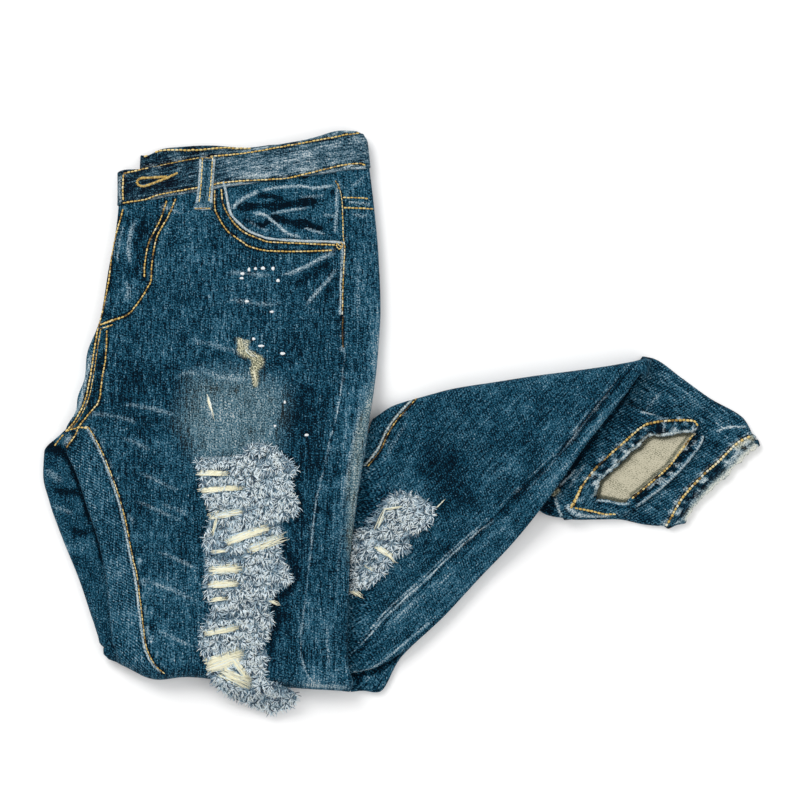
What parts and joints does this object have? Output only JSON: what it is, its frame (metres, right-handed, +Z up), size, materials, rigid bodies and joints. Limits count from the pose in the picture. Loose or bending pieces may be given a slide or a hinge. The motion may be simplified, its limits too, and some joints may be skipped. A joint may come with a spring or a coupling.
{
  "type": "folded ripped jeans",
  "caption": "Ripped skinny jeans in dark faded denim, folded in half and doubled back at the knee and the calf, lying flat.",
  "frame": {"origin": "on the floor, under the middle of the folded jeans", "axes": "+X towards the hems, +Y towards the waist, +Z up"},
  "size_m": [0.6014, 0.4918, 0.0309],
  "materials": {
    "denim": "matt faded dark indigo twill",
    "worn_denim": "matt twill worn pale on its edges",
    "denim_inside": "matt pale inside of the denim",
    "frayed_threads": "fluffy cut threads",
    "weft_threads": "loose cream threads",
    "topstitching": "orange sewing thread",
    "paint_specks": "dried white paint"
  },
  "bodies": {
    "root": {"left_back": "denim", "left_back_calf": "denim", "left_back_inseam_side": "denim", "left_back_knee": "denim", "left_back_shin": "denim", "left_front": "denim", "left_front_belt_loop": "worn_denim", "left_front_shin": "denim", "left_hem": "worn_denim", "left_knee_fringe": "frayed_threads", "left_leg_end": "denim", "left_pocket_facing": "denim", "left_waistband": "worn_denim", "left_yoke": "denim", "right_back": "denim", "right_back_calf": "denim", "right_back_shin": "denim", "right_back_side": "denim", "right_front": "denim", "right_front_calf": "denim", "right_front_shin": "denim", "right_hem": "worn_denim", "right_knee_fringe": "frayed_threads", "right_leg_end": "denim", "right_waistband": "worn_denim", "right_yoke": "denim", "shin_hidden_layers": "denim", "thigh_hidden_layers": "denim"}
  },
  "joints": []
}
